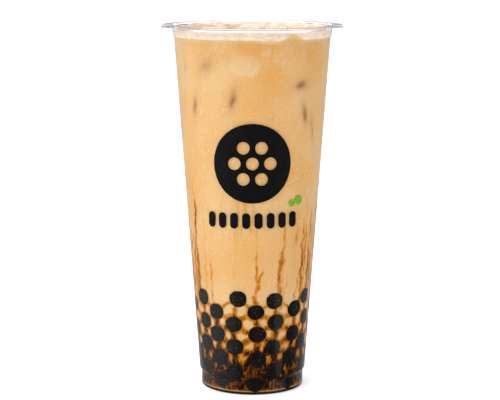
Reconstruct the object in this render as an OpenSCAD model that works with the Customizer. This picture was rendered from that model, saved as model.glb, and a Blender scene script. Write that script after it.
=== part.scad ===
// Iced milk tea with tapioca pearls in a tall clear plastic cup.
// The cup stands on the XY plane with its axis on Z, and the front is towards -Y.
// All sizes are in millimetres.

/* [Cup rim] */
// Height of the cup, from the table to the top of the rim
cup_h = 182; // [150:0.5:220]
// Outer diameter of the flange round the mouth
flange_d = 90; // [75:0.5:110]
// How far the flange stands out from the collar under it
flange_reach = 5.4; // [4:0.1:8]
// Thickness of the flange
flange_t = 0.9; // [0.6:0.1:1.3]
// Depth of the lip that turns down at the flange's edge
lip_drop = 2.1; // [1.6:0.1:3]
// Thickness of that lip
lip_t = 0.8; // [0.5:0.1:1.2]
// Depth of the straight collar, from the top of the rim to its step
collar_drop = 5.3; // [4.3:0.1:9]
// How far the wall steps in under the collar
collar_step = 0.8; // [0.4:0.1:1.4]
// Height of that slanted step
collar_step_h = 1; // [0.6:0.1:1.8]

/* [Cup wall and foot] */
// Thickness of the wall
wall_t = 0.75; // [0.6:0.05:1.3]
// Outer diameter of the tapered wall at its lower end
wall_low_d = 53.4; // [44:0.1:65]
// Height of the foot, from the table to the lower end of the wall
foot_h = 9; // [7:0.1:12]
// How far the foot is set in from the lower end of the wall
foot_inset = 1; // [0.4:0.1:2]
// Height of the slanted step between foot and wall
foot_step_h = 2.1; // [1:0.1:3]
// Width of the ring that the cup stands on
foot_ring_w = 3.4; // [2.6:0.1:5]
// Radius of the foot's outer edge
foot_edge_r = 0.9; // [0.4:0.1:1.5]
// Depth of the recess under the base
base_recess = 1.5; // [0.8:0.1:3]
// Thickness of the base
floor_t = 0.95; // [0.7:0.05:1.6]

/* [Drink] */
// Free height between the drink and the top of the rim
headspace = 5.6; // [4.5:0.1:30]

/* [Pearls] */
// Diameter of a tapioca pearl
pearl_d = 9.4; // [6:0.1:12]
// Height of the bed of pearls, from the table to the middle of its top layer
bed_h = 47; // [30:1:80]
// How much the height of the top layer varies, up and down
bed_unevenness = 2.4; // [0:0.1:5]

/* [Ice] */
// Edge length of an ice cube
ice_size = 16; // [10:0.5:19.5]
// Gap between two ice cubes, and between an ice cube and the wall
ice_gap = 0.5; // [0.2:0.1:2]
// Direction that the open stretch of drink lies in, anticlockwise from +X, in degrees
open_side = 221; // [0:1:359]

/* [Hidden] */
$fn = 96;
// Ice cubes that lie along the wall; one more floats in the middle
RING_CUBES = 5;
ICE_NODES = [for (i = [1:RING_CUBES + 1]) str("ice_", i)];

// For each ice cube: the turn about its own axis, the tilt, and how far its top stands out of the drink
ice_turn = [12, 50, 28, 64, 5, 33];
ice_tilt = [14, 21, 9, 24, 17, 12];
ice_rise = [1.7, 2, 2.5, 3, 2.3, 1.9];

flange_r = flange_d / 2;
collar_r = flange_r - flange_reach;
wall_top_r = collar_r - collar_step;
wall_low_r = wall_low_d / 2;
foot_r = wall_low_r - foot_inset;
ring_inner_r = foot_r - foot_ring_w;
mouth_r = collar_r - wall_t;

collar_z = cup_h - collar_drop;
wall_top_z = collar_z - collar_step_h;
foot_wall_z = foot_h - foot_step_h;
drink_z = cup_h - headspace;

// Roundings, each limited by the thickness or the width that it rounds
lip_edge_r = min(flange_t, lip_t) * 0.45;
mouth_edge_r = min(wall_t, flange_t) * 0.7;
under_flange_r = min(1, flange_reach / 4);
inner_corner_r = (foot_ring_w - wall_t) * 0.6;

// How far a cutting shape runs on past the face that it cuts
over = 1;

// Points along an arc round [r, z], with its ends
function arc(r, z, radius, from, to, steps = 5) = [
  for (i = [0:steps])
    let (a = from + (to - from) * i / steps)
      [r + radius * cos(a), z + radius * sin(a)]
];

// Half section of the cup's outside, from the middle of the base up to the rim
function outer_points() = concat(
  [
    [0, base_recess],
    [ring_inner_r - base_recess, base_recess],
    [ring_inner_r, 0]
  ],
  arc(foot_r - foot_edge_r, foot_edge_r, foot_edge_r, -90, 0),
  [
    [foot_r, foot_wall_z],
    [wall_low_r, foot_h],
    [wall_top_r, wall_top_z],
    [collar_r, collar_z]
  ],
  arc(collar_r + under_flange_r, cup_h - flange_t - under_flange_r, under_flange_r, 180, 90),
  [
    [flange_r - lip_t, cup_h - flange_t],
    [flange_r - lip_t, cup_h - lip_drop],
    [flange_r, cup_h - lip_drop]
  ],
  arc(flange_r - lip_edge_r, cup_h - lip_edge_r, lip_edge_r, 0, 90),
  [[0, cup_h]]
);

// Half section of the hollow: its floor follows the recess, and it runs on past the mouth
function inner_points() = concat(
  [
    [0, base_recess + floor_t],
    [ring_inner_r - base_recess, base_recess + floor_t],
    [ring_inner_r, floor_t]
  ],
  arc(foot_r - wall_t - inner_corner_r, floor_t + inner_corner_r, inner_corner_r, -90, 0),
  [
    [foot_r - wall_t, foot_wall_z],
    [wall_low_r - wall_t, foot_h],
    [wall_top_r - wall_t, wall_top_z],
    [mouth_r, collar_z]
  ],
  arc(mouth_r + mouth_edge_r, cup_h - mouth_edge_r, mouth_edge_r, 180, 90),
  [
    [mouth_r + mouth_edge_r, cup_h + over],
    [0, cup_h + over]
  ]
);

// Inner radius of the tapered wall at a height
function wall_inner_r(z) =
  wall_low_r - wall_t + (wall_top_r - wall_low_r) * (z - foot_h) / (wall_top_z - foot_h);

module hollow() {
  rotate_extrude() polygon(inner_points());
}

// Everything below a height, wider than the cup
module below(z) {
  translate([-flange_d, -flange_d, -over]) cube([2 * flange_d, 2 * flange_d, z + over]);
}

module cup() {
  color([0.88, 0.92, 0.94, 0.3])
    rotate_extrude()
      difference() {
        polygon(outer_points());
        polygon(inner_points());
      }
}

// The pearls lie packed, and the top layer stands up out of the bed as single pearls, just clear
// of the wall. They are set out on a sunflower spiral, whose turn to the next is the golden angle.
top_pearl_gap = 0.6;
bed_reach = wall_inner_r(bed_h) - pearl_d / 2 - top_pearl_gap;
top_pearls = floor(0.75 * pow(2 * bed_reach / pearl_d, 2));
golden_angle = 137.508;

module bed_outline() {
  below(bed_h - pearl_d * 0.15);
  for (i = [0:top_pearls - 1]) {
    out = bed_reach * sqrt((i + 0.5) / top_pearls);
    rise = bed_unevenness * sin(i * 100);
    rotate([0, 0, i * golden_angle]) translate([out, 0, bed_h + rise]) sphere(d = pearl_d);
  }
}

module pearls() {
  color([0.09, 0.08, 0.08])
    intersection() {
      hollow();
      bed_outline();
    }
}

// An ice cube has its corners melted off by a sphere, and nothing of it reaches past that sphere.
// The ring of cubes lies against the wall. The middle cube floats, or sinks where the ring is narrow.
ice_r = ice_size * 0.66;
ice_ring_r = wall_inner_r(drink_z - ice_size) - ice_gap - ice_r;
ice_step = 2 * asin((ice_r + ice_gap / 2) / ice_ring_r);
middle_sink = sqrt(max(0, pow(2 * ice_r + ice_gap, 2) - pow(ice_ring_r, 2)));

module ice_cube(i) {
  in_ring = i < RING_CUBES;
  way = open_side + 180 + (i - (RING_CUBES - 1) / 2) * ice_step;
  out = in_ring ? ice_ring_r : 0;
  sink = in_ring ? 0 : middle_sink;
  rotate([0, 0, way])
    translate([out, 0, drink_z + ice_rise[i] - ice_size / 2 - sink])
      rotate([ice_tilt[i], ice_tilt[i] / 2, ice_turn[i]])
        intersection() {
          cube(ice_size, center = true);
          sphere(r = ice_r);
        }
}

module ice(i) {
  color([0.93, 0.86, 0.76, 0.7]) ice_cube(i);
}

module milk_tea() {
  color([0.9, 0.68, 0.45])
    difference() {
      intersection() {
        hollow();
        below(drink_z);
      }
      bed_outline();
      for (i = [0:RING_CUBES]) ice_cube(i);
    }
}

cup();
milk_tea();
pearls();
for (i = [0:RING_CUBES])
  ice(i);
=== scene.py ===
"""Iced milk tea with tapioca pearls and brown sugar syrup, in a tall, clear, open plastic cup."""
import math
import random

import bmesh
import bpy
import numpy as np
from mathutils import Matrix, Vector, noise
from mathutils.bvhtree import BVHTree


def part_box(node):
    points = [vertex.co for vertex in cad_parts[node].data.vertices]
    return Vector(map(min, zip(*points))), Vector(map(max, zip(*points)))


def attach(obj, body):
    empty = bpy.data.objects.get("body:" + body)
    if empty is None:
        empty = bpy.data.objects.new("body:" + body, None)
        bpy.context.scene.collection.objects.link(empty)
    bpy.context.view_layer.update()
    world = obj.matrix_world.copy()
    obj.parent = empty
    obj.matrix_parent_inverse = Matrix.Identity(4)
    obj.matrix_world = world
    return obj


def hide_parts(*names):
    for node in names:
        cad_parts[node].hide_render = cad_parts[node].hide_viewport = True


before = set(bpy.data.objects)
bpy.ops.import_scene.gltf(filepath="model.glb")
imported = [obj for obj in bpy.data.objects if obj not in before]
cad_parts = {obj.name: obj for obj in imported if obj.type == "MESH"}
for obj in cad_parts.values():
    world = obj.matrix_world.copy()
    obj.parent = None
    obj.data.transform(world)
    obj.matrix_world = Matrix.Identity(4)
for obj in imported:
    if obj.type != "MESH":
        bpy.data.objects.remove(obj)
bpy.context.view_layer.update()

# ----------------------------------------------------------------------------------------------
# Camera, table and light.
# The cup stands on a white table, and a far camera looks down on it a little. The light is soft: a
# wide window on the left, the sky above, and a weak bounce from the right.
CAMERA_DISTANCE = 0.8145
CAMERA_ABOVE_RIM = 0.0434
CAMERA_ASIDE = -0.00114
CAMERA_TILT = math.radians(9.168)
LENS_MM = 118.1

scene = bpy.context.scene
scene.view_settings.view_transform = "Standard"
scene.view_settings.exposure = 0.36
rim_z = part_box("cup")[1].z

camera = bpy.data.objects.new("camera", bpy.data.cameras.new("camera"))
camera.data.lens = LENS_MM
camera.data.sensor_width = 36
camera.data.clip_start = 0.02
camera.location = (CAMERA_ASIDE, -CAMERA_DISTANCE, rim_z + CAMERA_ABOVE_RIM)
camera.rotation_euler = (math.pi / 2 - CAMERA_TILT, 0, 0)
scene.collection.objects.link(camera)
scene.camera = camera


def adder(tree):
    """A function that adds a node to a tree, with its settings and its inputs' values."""
    def add(kind, **settings):
        node = tree.nodes.new(kind)
        for key, value in settings.items():
            if hasattr(node, key):
                setattr(node, key, value)
            else:
                node.inputs[key.replace("_", " ")].default_value = value
        return node

    return add


def node_material(name):
    """A new material, its Principled shader, and what adds and what links its nodes."""
    material = bpy.data.materials.new(name)
    material.use_nodes = True
    tree = material.node_tree
    return material, tree.nodes["Principled BSDF"], adder(tree), tree.links.new


def shades(ramp, *stops):
    """Sets a colour ramp's stops, each a place and a colour in linear light."""
    points = ramp.color_ramp.elements
    while len(points) < len(stops):
        points.new(1)
    for point, (place, colour) in zip(points, stops):
        point.position = place
        point.color = (*colour, 1)


table_white, shader, add, link = node_material("table_white")
shader.inputs["Roughness"].default_value = 0.7
shader.inputs["Specular IOR Level"].default_value = 0.2
mottle = add("ShaderNodeTexNoise", Scale=3.0, Detail=2.0)
whites = add("ShaderNodeValToRGB")
shades(whites, (0.3, (0.95, 0.95, 0.95)), (0.7, (0.97, 0.97, 0.97)))
place = add("ShaderNodeTexCoord")
link(place.outputs["Object"], mottle.inputs["Vector"])
link(mottle.outputs["Fac"], whites.inputs["Fac"])
link(whites.outputs["Color"], shader.inputs["Base Color"])

TABLE_SIZE = 40.0
TABLE_DROP = 0.0001
bpy.ops.mesh.primitive_plane_add(size=TABLE_SIZE, location=(0, 0, -TABLE_DROP))
table = bpy.context.object
table.name = "table"
table.data.materials.append(table_white)
table.visible_glossy = False

# The room is white all round, dimmer overhead, with a thin grey band low down. Below the horizon
# gloss sees no table, only a dark cloth in front that turns grey on the left and behind. It keeps the
# dark pearls and the ink deep.
TABLE_GLOW = (1.5, 1.5, 1.5)
GREY_BAND = (0.36, 0.33, 0.33)
WHITE_WALLS = (1.6, 1.6, 1.6)
DIM_CEILING = (0.2, 0.2, 0.2)
OVERHEAD = (0.9, 0.9, 0.9)

world = bpy.data.worlds.new("soft_room")
world.use_nodes = True
scene.world = world
add = adder(world.node_tree)
link = world.node_tree.links.new
way = add("ShaderNodeTexCoord")
split = add("ShaderNodeSeparateXYZ")
room = add("ShaderNodeValToRGB")
shades(room, (0.038, TABLE_GLOW), (0.044, GREY_BAND), (0.068, GREY_BAND), (0.08, WHITE_WALLS),
       (0.22, WHITE_WALLS), (0.32, DIM_CEILING), (0.6, DIM_CEILING), (0.75, OVERHEAD))
cloth = add("ShaderNodeMapRange", From_Min=0.05, From_Max=0.9, To_Min=0.02, To_Max=0.38)
left = add("ShaderNodeMapRange", From_Min=-0.35, From_Max=-1.0, To_Max=0.42)
brighter = add("ShaderNodeMath", operation="MAXIMUM")
horizon = add("ShaderNodeMapRange", From_Min=-0.05, From_Max=0.0)
around = add("ShaderNodeMix", data_type="RGBA")
link(way.outputs["Generated"], split.inputs["Vector"])
link(split.outputs["Z"], room.inputs["Fac"])
link(split.outputs["Y"], cloth.inputs["Value"])
link(split.outputs["Z"], horizon.inputs["Value"])
link(horizon.outputs["Result"], around.inputs["Factor"])
link(split.outputs["X"], left.inputs["Value"])
link(cloth.outputs["Result"], brighter.inputs[0])
link(left.outputs["Result"], brighter.inputs[1])
link(brighter.outputs[0], around.inputs[6])
link(room.outputs["Color"], around.inputs[7])
link(around.outputs[2], world.node_tree.nodes["Background"].inputs["Color"])


def soft_light(name, place, spread, strength):
    """A sun that shines from a place towards the cup, as wide as its spread in degrees."""
    light = bpy.data.objects.new(name, bpy.data.lights.new(name, "SUN"))
    light.data.angle = math.radians(spread)
    light.data.energy = strength
    light.location = place
    light.rotation_euler = Vector(place).to_track_quat("Z", "Y").to_euler()
    scene.collection.objects.link(light)


soft_light("window_left", (-0.9, -0.7, 0.8), 55, 1.6)
soft_light("skylight", (0.1, 0.2, 1.0), 80, 1.35)
soft_light("bounce_right", (1.0, -0.6, 0.25), 70, 0.30)

# ----------------------------------------------------------------------------------------------
# Cup.
# Injection-moulded clear polypropylene, one shell from the flange to the foot ring. The packed
# shell keeps its shape, and gets the plastic's gloss and its faint waviness from the mould.
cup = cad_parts["cup"]

clear_plastic, shader, add, link = node_material("clear_plastic")
shader.inputs["Transmission Weight"].default_value = 1.0
shader.inputs["IOR"].default_value = 1.49
shader.inputs["Roughness"].default_value = 0.02
place = add("ShaderNodeTexCoord")
flow = add("ShaderNodeTexNoise", Scale=55.0, Detail=1.0)
waves = add("ShaderNodeBump", Strength=0.06, Distance=0.001)
link(place.outputs["Object"], flow.inputs["Vector"])
link(flow.outputs["Fac"], waves.inputs["Height"])
link(waves.outputs["Normal"], shader.inputs["Normal"])
# The foot's lowest millimetre is painted dark brown: painted shade for the shaded table under the cup,
# and a painted reflection of the syrup above it. The lip's cut edge is painted a little grey: painted
# shade for the dark that the lip shows by refraction.
CLEAR = (0.985, 0.99, 0.99)
FOOT_SHADE_TOP = 0.004
LIP_FROM = 0.0445
LIP_TO = 0.0449
LIP_SHADE = (0.86, 0.83, 0.84)
height = add("ShaderNodeSeparateXYZ")
foot_shade_height = add("ShaderNodeMapRange", From_Max=FOOT_SHADE_TOP)
foot_shade = add("ShaderNodeValToRGB")
# Painted shade at the foot: dark brown at the bottom, clear from a quarter of the way up.
shades(foot_shade, (0.0, (0.05, 0.02, 0.008)), (0.17, (0.12, 0.05, 0.015)), (0.25, CLEAR))
level_part = add("ShaderNodeVectorMath", operation="MULTIPLY")
level_part.inputs[1].default_value = (1, 1, 0)
from_axis = add("ShaderNodeVectorMath", operation="LENGTH")
# Painted shade on the lip: grey at the outermost radius.
on_lip = add("ShaderNodeMapRange", From_Min=LIP_FROM, From_Max=LIP_TO)
lip_shaded = add("ShaderNodeMix", data_type="RGBA")
lip_shaded.inputs[7].default_value = (*LIP_SHADE, 1)
link(place.outputs["Object"], height.inputs["Vector"])
link(height.outputs["Z"], foot_shade_height.inputs["Value"])
link(foot_shade_height.outputs["Result"], foot_shade.inputs["Fac"])
link(place.outputs["Object"], level_part.inputs[0])
link(level_part.outputs[0], from_axis.inputs[0])
link(from_axis.outputs["Value"], on_lip.inputs["Value"])
link(on_lip.outputs["Result"], lip_shaded.inputs["Factor"])
link(foot_shade.outputs["Color"], lip_shaded.inputs[6])
link(lip_shaded.outputs[2], shader.inputs["Base Color"])
for slot in cup.material_slots:
    slot.material = clear_plastic

cup_shell = BVHTree.FromPolygons([v.co for v in cup.data.vertices], [p.vertices for p in cup.data.polygons])
SIGHT = Vector((math.cos(0.01), math.sin(0.01), 0))
MOAT = 0.0229
OVER_FLOOR = 0.03


def inner_radius(z):
    """Radius of the cup's inside at a height, looked for from the moat round its raised floor."""
    hit = cup_shell.ray_cast(SIGHT * MOAT + Vector((0, 0, z)), SIGHT)[0]
    return hit.xy.length


def outer_radius(z):
    """Radius of the cup's outside at a height."""
    hit = cup_shell.ray_cast(Vector((0, 0, z)) + SIGHT, -SIGHT)[0]
    return hit.xy.length


def floor_height(radius):
    """Height of the cup's floor at a distance from its axis."""
    return cup_shell.ray_cast(SIGHT * radius + Vector((0, 0, OVER_FLOOR)), Vector((0, 0, -1)))[0].z


def finish(piece, replaced):
    """Says which body a piece rides on, and which nodes it replaces."""
    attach(piece, "root")
    if replaced:
        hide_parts(*replaced)


# ----------------------------------------------------------------------------------------------
# Tapioca pearls.
# Soft, near-black balls of cooked tapioca, packed from the floor up. Those along the wall stand in
# staggered columns and are pressed flat against the plastic, where they show as dark discs.
PEARL = 0.0094
PEARL_SQUAT = 0.96
PRESSED = 0.0021
WALL_BITE = 0.00022
COLUMNS_AROUND = 9
ROW_STEP = 0.00605
BOTTOM_ROW_Z = 0.0064
ROWS = 8
FIRST_COLUMN = math.radians(4)
STRAY_TURN = 3
STRAY_HEIGHT = 0.0008
PACKING_TRIES = 9000
CLOSEST = 0.95
FROM_WALL = 0.9

dice = random.Random(7)
wall_pearls = []
for row in range(ROWS):
    for column in range(COLUMNS_AROUND):
        turn = FIRST_COLUMN + (column + 0.5 * (row % 2)) * 2 * math.pi / COLUMNS_AROUND
        turn += math.radians(dice.uniform(-STRAY_TURN, STRAY_TURN))
        z = BOTTOM_ROW_Z + row * ROW_STEP + dice.uniform(-STRAY_HEIGHT, STRAY_HEIGHT)
        wall_pearls.append((turn, z))


def wall_point(turn, z, radius):
    """A point at a turn from the front, anticlockwise seen from above."""
    return Vector((radius * math.sin(turn), -radius * math.cos(turn), z))


centres = [wall_point(turn, z, inner_radius(z) + WALL_BITE - PRESSED) for turn, z in wall_pearls]
bed_top = max(c.z for c in centres)
for _ in range(PACKING_TRIES):
    z = dice.uniform(floor_height(0) + PEARL / 2, bed_top)
    reach = inner_radius(z) - PRESSED - PEARL * FROM_WALL
    spot = wall_point(dice.uniform(0, 2 * math.pi), z, reach * math.sqrt(dice.random()))
    if all((spot - c).length > PEARL * CLOSEST for c in centres):
        centres.append(spot)


def nodes_group(name, **inputs):
    """A Geometry Nodes tree with named inputs, and what adds and what links its nodes."""
    tree = bpy.data.node_groups.new(name, "GeometryNodeTree")
    tree.interface.new_socket("Geometry", in_out="OUTPUT", socket_type="NodeSocketGeometry")
    tree.interface.new_socket("Geometry", in_out="INPUT", socket_type="NodeSocketGeometry")
    for label, value in inputs.items():
        kind = {float: "Float", int: "Int"}.get(type(value), "Material")
        tree.interface.new_socket(label, in_out="INPUT", socket_type="NodeSocket" + kind)
    return tree, adder(tree), tree.links.new


def grown(name, mesh, tree, inputs):
    """The plain mesh that a tree makes from a mesh, as a new object."""
    seed = bpy.data.objects.new(name + "_seed", mesh)
    scene.collection.objects.link(seed)
    modifier = seed.modifiers.new("grow", "NODES")
    modifier.node_group = tree
    sockets = {s.name: s.identifier for s in tree.interface.items_tree if s.in_out == "INPUT"}
    for label, value in inputs.items():
        modifier[sockets[label]] = value
    made = bpy.data.meshes.new_from_object(seed.evaluated_get(bpy.context.evaluated_depsgraph_get()))
    bpy.data.objects.remove(seed)
    piece = bpy.data.objects.new(name, made)
    made.name = name
    scene.collection.objects.link(piece)
    return piece


tapioca, shader, add, link = node_material("tapioca")
shader.inputs["Roughness"].default_value = 0.3
shader.inputs["Specular IOR Level"].default_value = 0.06
place = add("ShaderNodeTexCoord")
cloud = add("ShaderNodeTexNoise", Scale=420.0, Detail=3.0)
darks = add("ShaderNodeValToRGB")
shades(darks, (0.35, (0.0015, 0.0014, 0.0014)), (0.7, (0.006, 0.0055, 0.005)))
specks = add("ShaderNodeTexNoise", Scale=1900.0, Detail=1.0)
rare = add("ShaderNodeMapRange", From_Min=0.70, From_Max=0.75)
speckled = add("ShaderNodeMix", data_type="RGBA")
speckled.inputs[7].default_value = (0.25, 0.24, 0.23, 1)
for texture in (cloud, specks):
    link(place.outputs["Object"], texture.inputs["Vector"])
link(cloud.outputs["Fac"], darks.inputs["Fac"])
link(specks.outputs["Fac"], rare.inputs["Value"])
link(rare.outputs["Result"], speckled.inputs["Factor"])
link(darks.outputs["Color"], speckled.inputs[6])
link(speckled.outputs[2], shader.inputs["Base Color"])

# Heights of the foot's step and of the stretch of wall above it whose taper the pearls follow.
FOOT_MIDDLE = 0.005
STEP_FROM = 0.0069
STEP_TO = 0.009
TAPER_FROM = 0.0095
TAPER_TO = 0.1

pearl_inputs = {
    "Diameter": PEARL,
    "Squat": PEARL_SQUAT,
    "Foot_radius": inner_radius(FOOT_MIDDLE) + WALL_BITE,
    "Wall_radius": inner_radius(TAPER_FROM) + WALL_BITE,
    "Widening": inner_radius(TAPER_TO) - inner_radius(TAPER_FROM),
    "Unevenness": 0.0007,
    "Seed": 3,
    "Skin": tapioca,
}
tree, add, link = nodes_group("pressed_pearls", **pearl_inputs)
source = add("NodeGroupInput")
spots = add("GeometryNodeMeshToPoints")
ball = add("GeometryNodeMeshUVSphere", Segments=26, Rings=14)
half = add("ShaderNodeMath", operation="MULTIPLY")
half.inputs[1].default_value = 0.5
spin = add("FunctionNodeRandomValue", data_type="FLOAT_VECTOR")
spin.inputs["Max"].default_value = (0, 0, 6.28)
girth = add("FunctionNodeRandomValue", data_type="FLOAT")
girth.inputs[2].default_value = 0.98
girth.inputs[3].default_value = 1.06
squat = add("ShaderNodeMath", operation="MULTIPLY")
sizes = add("ShaderNodeCombineXYZ")
strewn = add("GeometryNodeInstanceOnPoints")
real = add("GeometryNodeRealizeInstances")
link(source.outputs["Geometry"], spots.inputs["Mesh"])
link(source.outputs["Diameter"], half.inputs[0])
link(half.outputs[0], ball.inputs["Radius"])
link(source.outputs["Seed"], spin.inputs["Seed"])
link(source.outputs["Seed"], girth.inputs["Seed"])
link(girth.outputs[1], squat.inputs[0])
link(source.outputs["Squat"], squat.inputs[1])
link(girth.outputs[1], sizes.inputs["X"])
link(girth.outputs[1], sizes.inputs["Y"])
link(squat.outputs[0], sizes.inputs["Z"])
link(spots.outputs["Points"], strewn.inputs["Points"])
link(ball.outputs["Mesh"], strewn.inputs["Instance"])
link(spin.outputs[0], strewn.inputs["Rotation"])
link(sizes.outputs["Vector"], strewn.inputs["Scale"])
link(strewn.outputs["Instances"], real.inputs["Geometry"])

lumps = add("ShaderNodeTexNoise", Scale=150.0, Detail=1.0)
centred = add("ShaderNodeMath", operation="SUBTRACT")
centred.inputs[1].default_value = 0.5
amount = add("ShaderNodeMath", operation="MULTIPLY")
outward = add("GeometryNodeInputNormal")
offset = add("ShaderNodeVectorMath", operation="SCALE")
uneven = add("GeometryNodeSetPosition")
link(lumps.outputs["Fac"], centred.inputs[0])
link(centred.outputs[0], amount.inputs[0])
link(source.outputs["Unevenness"], amount.inputs[1])
link(outward.outputs[0], offset.inputs[0])
link(amount.outputs[0], offset.inputs["Scale"])
link(real.outputs["Geometry"], uneven.inputs["Geometry"])
link(offset.outputs[0], uneven.inputs["Offset"])

# What would reach past the wall is pressed back onto it: the foot's step, then the tapered wall.
where = add("GeometryNodeInputPosition")
split = add("ShaderNodeSeparateXYZ")
flat = add("ShaderNodeVectorMath", operation="MULTIPLY")
flat.inputs[1].default_value = (1, 1, 0)
away = add("ShaderNodeVectorMath", operation="LENGTH")
step = add("ShaderNodeMapRange", From_Min=STEP_FROM, From_Max=STEP_TO)
taper = add("ShaderNodeMapRange", From_Min=TAPER_FROM, From_Max=TAPER_TO)
limit = add("ShaderNodeMath", operation="ADD")
share = add("ShaderNodeMath", operation="DIVIDE")
capped = add("ShaderNodeMath", operation="MINIMUM")
capped.inputs[1].default_value = 1
press = add("ShaderNodeCombineXYZ", Z=1.0)
moved = add("ShaderNodeVectorMath", operation="MULTIPLY")
pressed = add("GeometryNodeSetPosition")
smooth = add("GeometryNodeSetShadeSmooth")
dressed = add("GeometryNodeSetMaterial")
sink = add("NodeGroupOutput")
link(where.outputs[0], split.inputs[0])
link(where.outputs[0], flat.inputs[0])
link(flat.outputs[0], away.inputs[0])
link(split.outputs["Z"], step.inputs["Value"])
link(source.outputs["Foot_radius"], step.inputs["To Min"])
link(source.outputs["Wall_radius"], step.inputs["To Max"])
link(split.outputs["Z"], taper.inputs["Value"])
link(source.outputs["Widening"], taper.inputs["To Max"])
link(step.outputs[0], limit.inputs[0])
link(taper.outputs[0], limit.inputs[1])
link(limit.outputs[0], share.inputs[0])
link(away.outputs["Value"], share.inputs[1])
link(share.outputs[0], capped.inputs[0])
link(capped.outputs[0], press.inputs["X"])
link(capped.outputs[0], press.inputs["Y"])
link(where.outputs[0], moved.inputs[0])
link(press.outputs[0], moved.inputs[1])
link(uneven.outputs["Geometry"], pressed.inputs["Geometry"])
link(moved.outputs[0], pressed.inputs["Position"])
link(pressed.outputs["Geometry"], smooth.inputs["Geometry"])
link(smooth.outputs["Geometry"], dressed.inputs["Geometry"])
link(source.outputs["Skin"], dressed.inputs["Material"])
link(dressed.outputs["Geometry"], sink.inputs["Geometry"])

spots_mesh = bpy.data.meshes.new("pearl_spots")
spots_mesh.from_pydata(centres, [], [])
pearls = grown("tapioca_pearls", spots_mesh, tree, pearl_inputs)
finish(pearls, ["pearls"])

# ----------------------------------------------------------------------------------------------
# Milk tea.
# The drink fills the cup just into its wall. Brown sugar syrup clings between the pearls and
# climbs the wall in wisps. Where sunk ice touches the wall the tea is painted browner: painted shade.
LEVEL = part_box("milk_tea")[1].z
TEA_BITE = 0.00012
SEGMENTS = 288
FINE_STEP = 0.0006
COARSE_STEP = 0.0008
FINE_TOP = 0.062
TOP_RINGS = 46
TOP_CROWDING = 1.05
STRETCH_DEPTH = 0.008

ice_names = [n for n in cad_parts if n.startswith("ice_")]
ice_corners, ice_faces = [], []
for name in ice_names:
    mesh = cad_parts[name].data
    ice_faces += [[i + len(ice_corners) for i in p.vertices] for p in mesh.polygons]
    ice_corners += [v.co.copy() for v in mesh.vertices]
ice_skin = BVHTree.FromPolygons(ice_corners, ice_faces)

turns = np.arange(SEGMENTS) * 2 * math.pi / SEGMENTS


def wobble(points, scale, seed=0.0):
    """Smooth noise from -1 to 1 at each point, with features about 1 / scale wide."""
    return np.array([noise.noise(Vector(p) * scale + Vector((seed, seed, seed))) for p in points])


def fade(value, start, end):
    """A smooth step from 0 at start to 1 at end."""
    t = np.clip((value - start) / (end - start), 0, 1)
    return t * t * (3 - 2 * t)


def gap(a, b):
    """The turn from b to a, from -pi to pi."""
    return (a - b + math.pi) % (2 * math.pi) - math.pi


# The drink's edge runs in slow waves round the wall, with a few swells and one shallow dip. For each:
# its turn in degrees, its rise, and its half width in degrees.
SWELLS = ((30, 0.0028, 6), (15, -0.0010, 8), (120, 0.0016, 15), (210, 0.0014, 15))
EDGE_WAVE = 0.0004
EDGE_RIPPLE = 0.0001
around_wall = [(math.cos(t), math.sin(t), 0) for t in turns]
edge = LEVEL + EDGE_WAVE * wobble(around_wall, 2, 3) + EDGE_RIPPLE * wobble(around_wall, 9, 5)
for degrees, rise, half_degrees in SWELLS:
    edge += rise * np.exp(-((gap(turns, math.radians(degrees)) / math.radians(half_degrees)) ** 2))

floor_radii = [*np.linspace(0.0015, 0.0200, 10), 0.0206, 0.0210, 0.0214, 0.0218, 0.0222, 0.0226, 0.0231]
heights = np.concatenate([
    [0.00098, 0.00108, 0.00122, 0.00140, 0.00162, 0.0020],
    np.arange(0.0024, FINE_TOP, FINE_STEP),
    np.linspace(FINE_TOP, LEVEL, round((LEVEL - FINE_TOP) / COARSE_STEP)),
])
over_level = np.arange(LEVEL + 0.0002, LEVEL + 0.0045, 0.0002)
wall_z = np.concatenate([heights, over_level])
wall_r = np.array([inner_radius(z) for z in wall_z]) + TEA_BITE

# The drink's rings run from the middle of the floor out to the wall and up it. The uppermost are
# stretched up or down to the drink's edge.
stretch_from = LEVEL - STRETCH_DEPTH
rings = []
for r in floor_radii:
    z = floor_height(r) - TEA_BITE
    rings.append([(r * math.sin(t), -r * math.cos(t), z) for t in turns])
for z in heights:
    lift = max(0.0, (z - stretch_from) / (LEVEL - stretch_from))
    ring = []
    for t, top in zip(turns, edge):
        z_here = z + (top - LEVEL) * lift
        r_here = np.interp(z_here, wall_z, wall_r)
        ring.append((r_here * math.sin(t), -r_here * math.cos(t), z_here))
    rings.append(ring)
side_last = len(rings)


# The open surface: how high its lumps of froth stand and how much higher behind, how near the wall
# and how near an ice cube it climbs, and how deep a pocket each cube sits in.
SURFACE_R = 0.0385
LUMP_HEIGHT = 0.0016
FINE_LUMP = 0.0004
HEAPED_BEHIND = 0.0012
WALL_CLIMB = 0.0016
ICE_CLIMB = 0.0013
ICE_COLLAR = 0.0012
POCKET = 0.006


def surface_height(x, y, wall_share, edge_height):
    """Height of the drink's open surface at a spot that is some share of the way to the wall."""
    spot = Vector((x, y, LEVEL))
    lumps = 0.5 + 0.5 * noise.noise(spot * 210)
    height = LEVEL + 0.0003 + LUMP_HEIGHT * lumps**2 + FINE_LUMP * noise.noise(spot * 620)
    height += HEAPED_BEHIND * min(1, max(0, y / 0.03)) * (0.6 + noise.noise(spot * 90))
    wall_pull = math.exp(-(1 - wall_share) * SURFACE_R / WALL_CLIMB)
    height = height * (1 - wall_pull) + edge_height * wall_pull
    near, normal, _, distance = ice_skin.find_nearest(spot)
    if (spot - near).dot(normal) < 0:
        return height - min(POCKET, distance * 3)
    return height + ICE_COLLAR * math.exp(-distance / ICE_CLIMB) * (1 - wall_pull)


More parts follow.
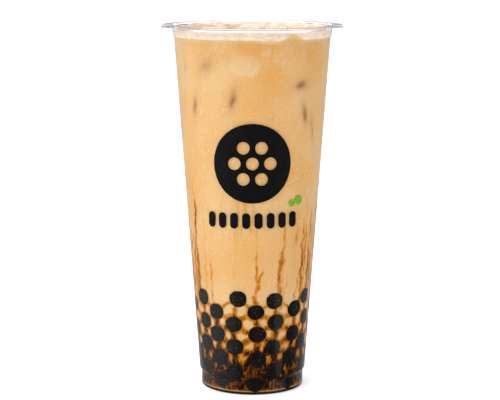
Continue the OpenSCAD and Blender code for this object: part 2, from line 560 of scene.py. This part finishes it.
for i in range(1, TOP_RINGS):
    share = 1 - (i / TOP_RINGS) ** TOP_CROWDING
    ring = []
    for t, top in zip(turns, edge):
        r = np.interp(top, wall_z, wall_r) * share
        x, y = r * math.sin(t), -r * math.cos(t)
        ring.append((x, y, surface_height(x, y, share, top)))
    rings.append(ring)

corners = [p for ring in rings for p in ring]
quads, quad_ring = [], []
for i in range(len(rings) - 1):
    for j in range(SEGMENTS):
        k = (j + 1) % SEGMENTS
        quads.append((i * SEGMENTS + j, i * SEGMENTS + k, (i + 1) * SEGMENTS + k, (i + 1) * SEGMENTS + j))
        quad_ring.append(i)
# Each end is closed with a fan of faces round a middle point.
UNDER_FLOOR = 0.0001
for ring_index, z in ((0, floor_height(0) - UNDER_FLOOR), (len(rings) - 1, surface_height(0, 0, 0, LEVEL))):
    corners.append((0, 0, z))
    for j in range(SEGMENTS):
        a, b = ring_index * SEGMENTS + j, ring_index * SEGMENTS + (j + 1) % SEGMENTS
        quads.append((b, a, len(corners) - 1) if ring_index == 0 else (a, b, len(corners) - 1))
        quad_ring.append(ring_index if ring_index == 0 else len(rings))

drink_mesh = bpy.data.meshes.new("milk_tea_drink")
drink_mesh.from_pydata(corners, [], quads)
# The ring where the side meets the open surface is a crisp edge.
edge_ring = range((side_last - 1) * SEGMENTS, side_last * SEGMENTS)
crisp = drink_mesh.attributes.new("sharp_edge", "BOOLEAN", "EDGE")
crisp.data.foreach_set("value", [all(v in edge_ring for v in e.vertices) for e in drink_mesh.edges])
drink = bpy.data.objects.new("milk_tea_drink", drink_mesh)
scene.collection.objects.link(drink)

# What the wall shows is painted on the drink's side in layers, each a value at every corner. Places
# round the wall and up it are warped, so that no outline is clean.
ROUND = 0.028
points = np.array(corners)
angle = np.arctan2(points[:, 0], -points[:, 1])
z = points[:, 2]
warp_u = 0.0009 * wobble(points, 170, 11) + 0.0004 * wobble(points, 600, 12)
warp_v = 0.0016 * wobble(points, 120, 13) + 0.0006 * wobble(points, 420, 14)
v = z + warp_v

# Syrup: a dark pool at the bottom, a ring round each pearl and a neck from pearl to pearl, all
# thinner further up.
NECK_REACH = 0.0150
RING_FROM = 0.44
RING_FADE = 0.0016
BED_TOP = 0.064
low = z < BED_TOP
bed_turn, bed_v, bed_z = angle[low], v[low], z[low]
neck = np.zeros(low.sum())
ring = np.zeros(low.sum())
neck_width = np.interp(bed_z, [0.006, 0.02, 0.035, 0.05], [0.0042, 0.0034, 0.0024, 0.0015])
for i, (turn_a, z_a) in enumerate(wall_pearls):
    du = gap(bed_turn, turn_a) * ROUND + warp_u[low]
    dv = bed_v - z_a
    ring = np.maximum(ring, 1 - fade(np.hypot(du, dv) - PEARL * RING_FROM, 0.0, RING_FADE))
    for turn_b, z_b in wall_pearls[i + 1:]:
        across = gap(turn_b, turn_a) * ROUND
        length = math.hypot(across, z_b - z_a)
        if length < NECK_REACH:
            along = np.clip((du * across + dv * (z_b - z_a)) / length**2, 0, 1)
            away = np.hypot(du - along * across, dv - along * (z_b - z_a))
            steep = 0.55 + 0.45 * abs(z_b - z_a) / length
            neck = np.maximum(neck, steep * (1 - fade(away, neck_width * 0.1, neck_width)))
steps = [0.002, 0.008, 0.014, 0.024, 0.036, 0.046, 0.056]
bed = neck * np.interp(bed_z, steps, [1.3, 1.25, 1.1, 0.92, 0.74, 0.62, 0.0])
bed = np.maximum(bed, ring * np.interp(bed_z, steps, [1.2, 1.1, 0.95, 0.7, 0.50, 0.28, 0.1]))
bed += np.interp(bed_z, steps, [1.3, 1.05, 0.5, 0.2, 0.12, 0.06, 0.0])
syrup = np.zeros(len(points))
syrup[low] = bed

# Wisps: wavering threads of syrup climb out of the pearls, and fork, fray and break. For each: the
# turn in degrees where it leaves the pearls, the turn and the height of its upper end, how dark it is
# and its half width.
WISP_ROOT = 0.040
WISP_FOOT = 0.048
WISP_MIDDLE = 0.075
WISPS = (
    (3, 6, 0.084, 0.46, 0.0011), (3, 17, 0.071, 0.62, 0.0013), (26, 32, 0.094, 0.66, 0.0014),
    (28, 27, 0.063, 0.78, 0.0015), (33, 36, 0.072, 0.38, 0.0008), (46, 52, 0.070, 0.42, 0.0009),
    (53, 53, 0.096, 0.74, 0.0014), (58, 56, 0.106, 0.52, 0.0010), (64, 66, 0.100, 0.62, 0.0016),
    (70, 70, 0.092, 0.60, 0.0016), (80, 78, 0.108, 0.62, 0.0026), (30, 30, 0.110, 0.28, 0.0010),
    (-61, -62, 0.114, 0.74, 0.0013), (-66, -68, 0.100, 0.52, 0.0016), (-74, -74, 0.090, 0.55, 0.0016),
    (-80, -80, 0.104, 0.58, 0.0024), (-42, -40, 0.075, 0.48, 0.0011), (-50, -47, 0.110, 0.34, 0.0010),
    (-19, -22, 0.062, 0.26, 0.0009), (96, 94, 0.090, 0.62, 0.0018), (112, 113, 0.103, 0.66, 0.0016),
    (124, 128, 0.080, 0.48, 0.0012), (145, 143, 0.096, 0.66, 0.0016), (164, 168, 0.085, 0.54, 0.0014),
    (181, 180, 0.105, 0.68, 0.0016), (196, 203, 0.075, 0.50, 0.0011), (215, 214, 0.098, 0.66, 0.0018),
    (234, 238, 0.090, 0.62, 0.0014), (252, 251, 0.106, 0.66, 0.0020), (268, 265, 0.082, 0.54, 0.0016),
)
for number, (foot_turn, top_turn, top, depth, half) in enumerate(WISPS):
    drift = 0.0011 * wobble([(number * 7.3, 0, h) for h in z], 60, 21)
    drift += 0.0008 * wobble([(number * 5.1, 2, h) for h in z], 210, 23)
    risen = np.clip((z - WISP_FOOT) / (top - WISP_FOOT), 0, 1)
    along = np.radians(foot_turn + (top_turn - foot_turn) * risen**1.5)
    across = gap(angle, along) * inner_radius(WISP_MIDDLE) + drift + 1.5 * warp_u
    frayed = half * (1.15 - 0.55 * fade(z, WISP_FOOT, top))
    broken = np.clip(0.9 + 0.7 * wobble([(number * 3.1, 1, h) for h in z], 85, 22), 0.35, 1)
    strength = depth * broken * (1 - fade(z, top * 0.8, top)) * fade(z, WISP_ROOT, WISP_FOOT)
    syrup = np.maximum(syrup, strength * (1 - fade(np.abs(across), frayed * 0.15, frayed * 1.4)))

# Faint streaks between the wisps, and a thin golden line low in the foot, where light comes through.
STREAKS = 0.50
LINE_TOP = 0.0032
streaks = wobble(points * (1, 1, 0.12), 210, 31) + 0.5 * wobble(points * (1, 1, 0.2), 480, 33)
patchy = np.clip(0.35 + 0.9 * wobble(points, 45, 32), 0, 1)
between = fade(z, 0.03, 0.05) * (1 - fade(z, 0.085, 0.125))
syrup = np.maximum(syrup, STREAKS * np.clip(streaks, 0, 1) * patchy * between)
line_steps = [0.0009, 0.00105, 0.00135, 0.00175, 0.0021, LINE_TOP]
golden = np.interp(z, line_steps, [1.1, 0.35, 0.03, 0.08, 1.0, 1.0])
syrup = np.where(z < LINE_TOP, golden, syrup)

# Where ice touches the wall, painted shade makes the tea browner, with an amber heart, for the dim tea
# seen through the ice: turn in degrees, how far under the level, lean, half length and half width, then
# the depth of the brown and of its amber heart.
ICE_TOUCHES = (
    (-35, 0.012, 0.9, 0.0046, 0.0026, 0.34, 0.35),
    (-15, 0.028, 0.25, 0.0038, 0.0014, 0.8, 0.9),
    (-50, 0.032, 0.15, 0.0036, 0.0011, 0.75, 0.5),
    (40, 0.022, 1.4, 0.0028, 0.0016, 1.0, 0.7),
    (35, 0.006, -0.5, 0.0026, 0.0015, 0.10, 0.0),
    (45, 0.036, -0.25, 0.0038, 0.0012, 0.85, 0.7),
    (55, 0.044, -0.25, 0.0050, 0.0009, 0.5, 0.2),
    (-60, 0.014, 0.1, 0.0028, 0.0012, 0.25, 0.1),
    (15, 0.038, 1.5, 0.0012, 0.0006, 0.35, 0.1),
)
MORE_TOUCHES = 18
spare = random.Random(19)


def strewn_behind(count, *ranges):
    """Marks at random turns out of the front's sight, with each other value drawn from its range."""
    return tuple(tuple(spare.uniform(*each) for each in ((70, 290), *ranges)) for _ in range(count))


touches = ICE_TOUCHES + strewn_behind(
    MORE_TOUCHES, (0.006, 0.048), (-1.5, 1.5), (0.0022, 0.0042), (0.0010, 0.0018), (0.4, 1), (0.3, 1))
ice_shade = np.zeros(len(points))
ice_heart = np.zeros(len(points))
soft_u = 0.0007 * wobble(points, 260, 41) + 0.0004 * wobble(points, 700, 42)
soft_v = 0.0008 * wobble(points, 260, 43)


def from_mark(degrees, under, warp_across, warp_up):
    """How far each corner lies round the wall and up it from a mark's middle, warped."""
    height = LEVEL - under
    across = gap(angle, math.radians(degrees)) * inner_radius(height) + warp_across * soft_u
    return across, z - height + warp_up * soft_v


for degrees, under, lean, half_length, half_width, depth, heart_depth in touches:
    across, up = from_mark(degrees, under, 1, 1)
    long = up * math.cos(lean) + across * math.sin(lean)
    wide = across * math.cos(lean) - up * math.sin(lean)
    far = np.hypot(long / half_length, wide / half_width)
    halo = 0.8 * np.exp(-((far / 1.1) ** 2)) + 0.2 * np.exp(-((far / 2.4) ** 2))
    ice_shade = np.maximum(ice_shade, depth * halo)
    heart = np.hypot((long + half_length * 0.35) / half_length, wide / half_width)
    ice_heart = np.maximum(ice_heart, heart_depth * np.exp(-((heart / 0.6) ** 2)))

# Pale milk gathers against the underside of ice just behind the wall: turn in degrees, how far under
# the level, half width, half height and strength.
PALE_CUPS = (
    (-5, 0.012, 0.0068, 0.0050, 0.85), (10, 0.005, 0.0024, 0.0024, 0.8), (30, 0.008, 0.0080, 0.0075, 0.25),
    (-30, 0.016, 0.0070, 0.0085, 0.2), (-25, 0.002, 0.0036, 0.0040, 0.35),
)
MORE_CUPS = 8
cups = PALE_CUPS + strewn_behind(MORE_CUPS, (0.003, 0.021), (0.003, 0.008), (0.003, 0.007), (0.4, 0.9))
pale = np.zeros(len(points))
for degrees, under, half_width, half_height, depth in cups:
    across, up = from_mark(degrees, under, 1.5, 1)
    far = np.hypot(across / half_width, up / half_height)
    cup_side = 1 - 0.75 * fade(up / half_height, -0.3, 0.6)
    pale = np.maximum(pale, depth * cup_side * np.exp(-(((far - 0.86) / 0.22) ** 2)))
    pale = np.maximum(pale, 0.6 * depth * cup_side * (1 - fade(far, 0.6, 1.0)))

# The tea is a deeper orange in soft patches: turn in degrees, how far under the level, half
# width, half height and strength.
DEEP_ZONES = (
    (10, 0.106, 0.0220, 0.0220, 0.40), (0, 0.004, 0.0130, 0.0060, 0.85), (5, 0.028, 0.0150, 0.0220, 0.45),
    (15, 0.022, 0.0120, 0.0110, 0.6), (-15, 0.007, 0.0070, 0.0070, 0.4), (25, 0.050, 0.0090, 0.0150, 0.4),
    (50, 0.012, 0.0170, 0.0150, 0.38), (65, 0.036, 0.0120, 0.0200, 0.4), (120, 0.012, 0.0120, 0.0080, 0.7),
    (165, 0.032, 0.0140, 0.0120, 0.5), (215, 0.010, 0.0130, 0.0090, 0.75), (250, 0.042, 0.0110, 0.0130, 0.4),
)
deep = np.zeros(len(points))
for degrees, under, half_width, half_height, depth in DEEP_ZONES:
    across, up = from_mark(degrees, under, 2.5, 2)
    far = np.hypot(across / half_width, up / half_height)
    deep = np.maximum(deep, depth * (1 - fade(far, 0.25, 1.3)))

# Froth lies on the open surface in pale rafts. A thin pale line follows the drink's edge on the wall,
# partly froth and partly painted light on the drink's lit upper edge.
LINE_FROM = 0.0019
LINE_TO = 0.0003
NEAR_LEVEL = 0.17
on_top = np.arange(len(points)) >= (side_last - 1) * SEGMENTS
rafts = wobble(points, 170, 51) + 0.6 * wobble(points, 430, 52)
froth = np.where(on_top, np.clip(0.45 + 0.9 * rafts, 0, 1), 0)
edge_here = np.interp(angle, turns, edge, period=2 * math.pi)
lit_edge_line = fade(z, edge_here - LINE_FROM, edge_here - LINE_TO) * (z > NEAR_LEVEL)
froth = np.maximum(froth, (0.7 + 0.4 * rafts) * lit_edge_line)

layers = {"syrup": syrup, "ice_shade": ice_shade, "ice_heart": ice_heart,
          "pale": pale, "froth": froth, "deep": deep}
for name, values in layers.items():
    layer = drink_mesh.attributes.new(name, "FLOAT", "POINT")
    layer.data.foreach_set("value", np.clip(values, 0, 1.2).astype(np.float32))

MILK_PALE = (0.86, 0.625, 0.33)
MILK_DEEP = (0.845, 0.495, 0.17)
CREAM = (0.88, 0.71, 0.45)
GRAIN = (0.90, 0.76, 0.52)


def milk_colour(add, link, place, specks):
    """The tea's own colour: cloudy tan with the pale grain of fine froth."""
    cloud = add("ShaderNodeTexNoise", Scale=30.0, Detail=3.0)
    clouds = add("ShaderNodeValToRGB")
    shades(clouds, (0.34, MILK_PALE), (0.66, MILK_DEEP))
    grain = add("ShaderNodeTexNoise", Scale=1500.0, Detail=2.0)
    spots = add("ShaderNodeMapRange", From_Min=0.56, From_Max=0.70, To_Max=specks)
    grained = add("ShaderNodeMix", data_type="RGBA")
    grained.inputs[7].default_value = (*GRAIN, 1)
    link(place.outputs["Object"], cloud.inputs["Vector"])
    link(place.outputs["Object"], grain.inputs["Vector"])
    link(cloud.outputs["Fac"], clouds.inputs["Fac"])
    link(grain.outputs["Fac"], spots.inputs["Value"])
    link(spots.outputs["Result"], grained.inputs["Factor"])
    link(clouds.outputs["Color"], grained.inputs[6])
    return grained.outputs[2]


def layered(add, link, base, layer, share, colour):
    """Mixes a colour over a base by one of the drink's painted layers."""
    amount = add("ShaderNodeAttribute", attribute_name=layer)
    part = add("ShaderNodeMath", operation="MULTIPLY")
    part.inputs[1].default_value = share
    mix = add("ShaderNodeMix", data_type="RGBA")
    mix.inputs[7].default_value = (*colour, 1)
    link(amount.outputs["Fac"], part.inputs[0])
    link(part.outputs[0], mix.inputs["Factor"])
    link(base, mix.inputs[6])
    return mix.outputs[2]


side_tea, shader, add, link = node_material("milk_tea_marbled")
shader.inputs["Roughness"].default_value = 0.6
shader.inputs["Specular IOR Level"].default_value = 0.0
place = add("ShaderNodeTexCoord")
milk = milk_colour(add, link, place, 0.9)
milk = layered(add, link, milk, "deep", 0.75, (0.83, 0.42, 0.085))
milk = layered(add, link, milk, "pale", 0.75, CREAM)
# Painted shade where ice touches the wall, with its amber heart.
milk = layered(add, link, milk, "ice_shade", 0.85, (0.35, 0.16, 0.10))
milk = layered(add, link, milk, "ice_heart", 0.85, (0.42, 0.16, 0.014))
# The froth layer: pale rafts, and the pale line at the drink's edge, which is partly painted light.
milk = layered(add, link, milk, "froth", 0.85, (0.96, 0.74, 0.42))

# Syrup frays into threads that run up the wall: fine grain and thin ridges, both drawn out upwards.
syrup_layer = add("ShaderNodeAttribute", attribute_name="syrup")
drawn_out = add("ShaderNodeMapping")
drawn_out.inputs["Scale"].default_value = (1, 1, 0.4)
grain = add("ShaderNodeTexNoise", Scale=850.0, Detail=4.0, Roughness=0.62)
thread = add("ShaderNodeTexNoise", Scale=330.0, Detail=3.0, Distortion=0.8)
off_centre = add("ShaderNodeMath", operation="SUBTRACT")
off_centre.inputs[1].default_value = 0.5
either_side = add("ShaderNodeMath", operation="ABSOLUTE")
ridge = add("ShaderNodeMapRange", From_Max=0.055, To_Min=0.6, To_Max=0.0)
grainy = add("ShaderNodeMath", operation="MULTIPLY")
grainy.inputs[1].default_value = 1.4
sunk = add("ShaderNodeMath", operation="MULTIPLY")
both = add("ShaderNodeMath", operation="ADD")
thickness = add("ShaderNodeMath", operation="MULTIPLY")
cover = add("ShaderNodeMapRange", From_Min=0.09, From_Max=0.30)
sugar = add("ShaderNodeValToRGB")
shades(sugar, (0.12, (0.77, 0.40, 0.080)), (0.36, (0.66, 0.25, 0.018)), (0.60, (0.37, 0.115, 0.009)),
       (0.80, (0.10, 0.027, 0.005)), (1.0, (0.014, 0.005, 0.0025)))
marbled = add("ShaderNodeMix", data_type="RGBA")
link(place.outputs["Object"], drawn_out.inputs["Vector"])
link(drawn_out.outputs["Vector"], grain.inputs["Vector"])
link(drawn_out.outputs["Vector"], thread.inputs["Vector"])
link(thread.outputs["Fac"], off_centre.inputs[0])
link(off_centre.outputs[0], either_side.inputs[0])
link(either_side.outputs[0], ridge.inputs["Value"])
link(grain.outputs["Fac"], grainy.inputs[0])
link(grainy.outputs[0], both.inputs[0])
link(ridge.outputs["Result"], sunk.inputs[0])
link(syrup_layer.outputs["Fac"], sunk.inputs[1])
link(sunk.outputs[0], both.inputs[1])
link(both.outputs[0], thickness.inputs[0])
link(syrup_layer.outputs["Fac"], thickness.inputs[1])
link(thickness.outputs[0], cover.inputs["Value"])
link(thickness.outputs[0], sugar.inputs["Fac"])
link(cover.outputs["Result"], marbled.inputs["Factor"])
link(milk, marbled.inputs[6])
link(sugar.outputs["Color"], marbled.inputs[7])
link(marbled.outputs[2], shader.inputs["Base Color"])

# The open surface is glossier. It is painted darker than the tea on the side, and its froth darker than
# the froth line there: painted shade for the stronger light it gets from above. It is dimpled by its
# bubbles.
open_tea, shader, add, link = node_material("milk_tea_surface")
shader.inputs["Roughness"].default_value = 0.15
place = add("ShaderNodeTexCoord")
painted_top_shade = add("ShaderNodeMix", data_type="RGBA", blend_type="MULTIPLY", Factor=1.0)
painted_top_shade.inputs[7].default_value = (0.68, 0.66, 0.66, 1)
link(milk_colour(add, link, place, 0.5), painted_top_shade.inputs[6])
link(layered(add, link, painted_top_shade.outputs[2], "froth", 0.8, (0.62, 0.50, 0.39)), shader.inputs["Base Color"])
foam = add("ShaderNodeTexNoise", Scale=900.0, Detail=3.0)
dimples = add("ShaderNodeBump", Strength=0.4, Distance=0.0005)
link(place.outputs["Object"], foam.inputs["Vector"])
link(foam.outputs["Fac"], dimples.inputs["Height"])
link(dimples.outputs["Normal"], shader.inputs["Normal"])

drink_mesh.materials.append(side_tea)
drink_mesh.materials.append(open_tea)
drink_mesh.polygons.foreach_set("material_index", [int(i >= side_last - 1) for i in quad_ring])
drink_mesh.polygons.foreach_set("use_smooth", [True] * len(quads))
finish(drink, ["milk_tea"])

# ----------------------------------------------------------------------------------------------
# Froth on the wall.
# Sloshed milk froth clings to the inside of the wall above the drink, as a thin band in front and
# heaped nearly to the rim behind, with a ragged upper edge.
FROTH_COLUMNS = 420
FROTH_ROWS = 12
FROTH_LAP = 0.0003
RIM_GAP = 0.0008
FROTH_FRONT = 0.0022
FROTH_RISE = 0.0019
FROTH_RAGGED = 0.0011
FILM_EDGE = 0.00004
FILM_MIN = 0.0003
FILM_LUMPS = 0.0006
FILM_BEHIND = 0.0022
FILM_BITE = 0.00005

froth_corners, froth_quads = [], []
for column in range(FROTH_COLUMNS):
    turn = column * 2 * math.pi / FROTH_COLUMNS
    here = Vector((math.cos(turn), math.sin(turn), 0))
    behind = 0.5 - 0.5 * math.cos(turn)
    ragged = 0.5 + 0.5 * noise.noise(here * 3.1)
    ragged += 0.32 * noise.noise(here * 11) + 0.2 * noise.noise(here * 31)
    top = LEVEL + FROTH_FRONT + FROTH_RISE * behind + FROTH_RAGGED * (1 + behind) * max(0, ragged)
    top = min(top, rim_z - RIM_GAP)
    foot = np.interp(turn, turns, edge, period=2 * math.pi) - FROTH_LAP
    outer, inner = [], []
    for row in range(FROTH_ROWS):
        share = row / (FROTH_ROWS - 1)
        z = foot + (top - foot) * share
        wall = inner_radius(z)
        lump = 0.5 + 0.5 * noise.noise(wall_point(turn, z, wall) * 420)
        thick = (FILM_MIN + (FILM_LUMPS + FILM_BEHIND * behind) * lump) * (1 - share**3) + FILM_EDGE
        outer.append(wall_point(turn, z, wall + FILM_BITE))
        inner.append(wall_point(turn, z, wall - thick))
    froth_corners += outer + inner[::-1]
loop = 2 * FROTH_ROWS
for column in range(FROTH_COLUMNS):
    first = column * loop
    beside = (column + 1) % FROTH_COLUMNS * loop
    for k in range(loop):
        k_next = (k + 1) % loop
        froth_quads.append((first + k, beside + k, beside + k_next, first + k_next))
froth_mesh = bpy.data.meshes.new("wall_froth")
froth_mesh.from_pydata(froth_corners, [], froth_quads)
froth_mesh.polygons.foreach_set("use_smooth", [True] * len(froth_quads))


def froth_material(name, gloss, brown, peach, white):
    """Fine froth, mottled from tea brown to white, with its bubbles as a fine bump."""
    material, shader, add, link = node_material(name)
    shader.inputs["Roughness"].default_value = 0.4
    shader.inputs["Specular IOR Level"].default_value = gloss
    place = add("ShaderNodeTexCoord")
    mottle = add("ShaderNodeTexNoise", Scale=260.0, Detail=3.0, Roughness=0.5)
    flat = add("ShaderNodeMapping")
    flat.inputs["Scale"].default_value = (1, 1, 3)
    tones = add("ShaderNodeValToRGB")
    shades(tones, (0.26, brown), (0.42, peach), (0.66, white))
    cells = add("ShaderNodeTexVoronoi", Scale=1400.0)
    bubbly = add("ShaderNodeBump", Strength=0.25, Distance=0.0003)
    link(place.outputs["Object"], flat.inputs["Vector"])
    link(flat.outputs["Vector"], mottle.inputs["Vector"])
    link(place.outputs["Object"], cells.inputs["Vector"])
    link(mottle.outputs["Fac"], tones.inputs["Fac"])
    link(tones.outputs["Color"], shader.inputs["Base Color"])
    link(cells.outputs["Distance"], bubbly.inputs["Height"])
    link(bubbly.outputs["Normal"], shader.inputs["Normal"])
    return material


# The froth is one colour. Its side seen through the wall is painted lighter, as painted light, and its open
# side darker, as painted shade, for how much light reaches each.
froth_mesh.materials.append(froth_material(
    "froth_behind_wall_painted_light", 0.0, (0.93, 0.60, 0.34), (1.0, 0.80, 0.62), (1.0, 0.92, 0.84)))
froth_mesh.materials.append(froth_material(
    "froth_open_painted_shade", 0.3, (0.52, 0.25, 0.09), (0.62, 0.44, 0.32), (0.70, 0.59, 0.52)))
faces_in = [int(i % loop >= FROTH_ROWS - 1) for i in range(len(froth_quads))]
froth_mesh.polygons.foreach_set("material_index", faces_in)
wall_froth = bpy.data.objects.new("wall_froth", froth_mesh)
scene.collection.objects.link(wall_froth)
finish(wall_froth, [])

# ----------------------------------------------------------------------------------------------
# Ice cubes.
# Half-melted cubes, glazed with milk tea, stand out of the drink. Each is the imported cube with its
# edges and corners melted round and its faces dimpled.
VOXEL = 0.0007
DIMPLE = 0.0005
MELTED = 0.0003

wet_ice, shader, add, link = node_material("wet_ice")
shader.inputs["Base Color"].default_value = (0.96, 0.85, 0.72, 1)
shader.inputs["Transmission Weight"].default_value = 0.5
shader.inputs["IOR"].default_value = 1.31
shader.inputs["Roughness"].default_value = 0.1
place = add("ShaderNodeTexCoord")
pits = add("ShaderNodeTexNoise", Scale=260.0, Detail=3.0)
melt = add("ShaderNodeBump", Strength=0.3, Distance=0.0008)
link(place.outputs["Object"], pits.inputs["Vector"])
link(pits.outputs["Fac"], melt.inputs["Height"])
link(melt.outputs["Normal"], shader.inputs["Normal"])

for number, name in enumerate(sorted(ice_names)):
    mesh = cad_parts[name].data.copy()
    cube = bpy.data.objects.new(f"ice_cube_{number + 1}", mesh)
    scene.collection.objects.link(cube)
    voxels = cube.modifiers.new("melt", "REMESH")
    voxels.mode = "VOXEL"
    voxels.voxel_size = VOXEL
    relax = cube.modifiers.new("relax", "SMOOTH")
    relax.iterations = 9
    relax.factor = 0.6
    melted = bpy.data.meshes.new_from_object(cube.evaluated_get(bpy.context.evaluated_depsgraph_get()))
    cube.modifiers.clear()
    cube.data = melted
    for vertex in melted.vertices:
        vertex.co += vertex.normal * (DIMPLE * noise.noise(vertex.co * 190) - MELTED)
    melted.materials.clear()
    melted.materials.append(wet_ice)
    melted.polygons.foreach_set("use_smooth", [True] * len(melted.polygons))
    finish(cube, [name])

# ----------------------------------------------------------------------------------------------
# Print.
# One pass of black ink on the cup's front, with two green dots: a plain roundel with a cluster of
# round windows, over a row of upright bars. It is a thin film wrapped on the outer wall.
INK = 0.00005
ROUNDEL_Z = 0.117
ROUNDEL_R = 0.0195
WINDOW_R = 0.0031
WINDOW_STEP = 0.0088
WINDOWS_AROUND = 6
BARS = 8
BAR_STEP = 0.0060
BAR_W = 0.0040
BAR_H = 0.0078
BAR_Z = 0.0888
DOTS = ((0.0205, 0.0968, 0.0017), (0.0248, 0.0980, 0.0023))
STRIP = 0.0012
INK_GAP = 0.00002
SAME_POINT = 1e-7


def circle_points(x, y, radius, count=72):
    """Points round a circle."""
    leans = [i * 2 * math.pi / count for i in range(count)]
    return [(x + radius * math.cos(a), y + radius * math.sin(a)) for a in leans]


def bar_points(x, y, width, height, steps=16):
    """Points round an upright bar with round ends."""
    r = width / 2
    leans = [i * math.pi / steps for i in range(steps + 1)]
    cap = [(r * math.cos(a), height / 2 - r + r * math.sin(a)) for a in leans]
    return [(x + a, y + b) for a, b in cap] + [(x - a, y - b) for a, b in cap]


def printed(name, outlines, ink):
    """A flat figure with its windows, cut into narrow strips and wrapped round the wall as a thin film."""
    flat = bpy.data.curves.new(name, "CURVE")
    flat.dimensions = "2D"
    flat.fill_mode = "BOTH"
    for outline in outlines:
        spline = flat.splines.new("POLY")
        spline.points.add(len(outline) - 1)
        for point, (x, y) in zip(spline.points, outline):
            point.co = (x, y, 0, 1)
        spline.use_cyclic_u = True
    drawing = bpy.data.objects.new(name, flat)
    scene.collection.objects.link(drawing)
    mesh = bpy.data.meshes.new_from_object(drawing.evaluated_get(bpy.context.evaluated_depsgraph_get()))
    bpy.data.objects.remove(drawing)
    form = bmesh.new()
    form.from_mesh(mesh)
    bmesh.ops.remove_doubles(form, verts=form.verts, dist=SAME_POINT)
    reach = max(abs(v.co.x) for v in form.verts)
    for i in range(-int(reach / STRIP), int(reach / STRIP) + 1):
        everything = form.verts[:] + form.edges[:] + form.faces[:]
        bmesh.ops.bisect_plane(
            form, geom=everything, plane_co=(i * STRIP, 0, 0), plane_no=(1, 0, 0), dist=SAME_POINT)
    for face in form.faces:
        face.normal_update()
        if face.normal.z < 0:
            face.normal_flip()
    thick = bmesh.ops.extrude_face_region(form, geom=form.faces[:])
    for item in thick["geom"]:
        if isinstance(item, bmesh.types.BMVert):
            item.co.z += INK
    for vertex in form.verts:
        x, y, film = vertex.co
        radius = outer_radius(y) + INK_GAP + film
        vertex.co = wall_point(x / outer_radius(y), y, radius)
    bmesh.ops.recalc_face_normals(form, faces=form.faces)
    form.to_mesh(mesh)
    form.free()
    piece = bpy.data.objects.new(name, mesh)
    scene.collection.objects.link(piece)
    mesh.materials.clear()
    mesh.materials.append(ink)
    finish(piece, [])


def ink_material(name, thin, full):
    """A screen-print ink, a little thinner here and there."""
    material, shader, add, link = node_material(name)
    shader.inputs["Roughness"].default_value = 0.4
    shader.inputs["Specular IOR Level"].default_value = 0.12
    place = add("ShaderNodeTexCoord")
    cover = add("ShaderNodeTexNoise", Scale=700.0, Detail=2.0)
    tones = add("ShaderNodeValToRGB")
    shades(tones, (0.35, full), (0.8, thin))
    link(place.outputs["Object"], cover.inputs["Vector"])
    link(cover.outputs["Fac"], tones.inputs["Fac"])
    link(tones.outputs["Color"], shader.inputs["Base Color"])
    return material


black_ink = ink_material("black_ink", (0.005, 0.005, 0.005), (0.0015, 0.0015, 0.0015))
green_ink = ink_material("green_ink", (0.13, 0.31, 0.010), (0.09, 0.26, 0.005))

roundel = [circle_points(0, ROUNDEL_Z, ROUNDEL_R), circle_points(0, ROUNDEL_Z, WINDOW_R)]
for i in range(WINDOWS_AROUND):
    lean = i * 2 * math.pi / WINDOWS_AROUND
    x, y = WINDOW_STEP * math.cos(lean), ROUNDEL_Z + WINDOW_STEP * math.sin(lean)
    roundel.append(circle_points(x, y, WINDOW_R))
printed("print_roundel", roundel, black_ink)
row = [bar_points((i - (BARS - 1) / 2) * BAR_STEP, BAR_Z, BAR_W, BAR_H) for i in range(BARS)]
printed("print_bars", row, black_ink)
dots = [circle_points(x, y, radius, 32) for x, y, radius in DOTS]
printed("print_dots", dots, green_ink)
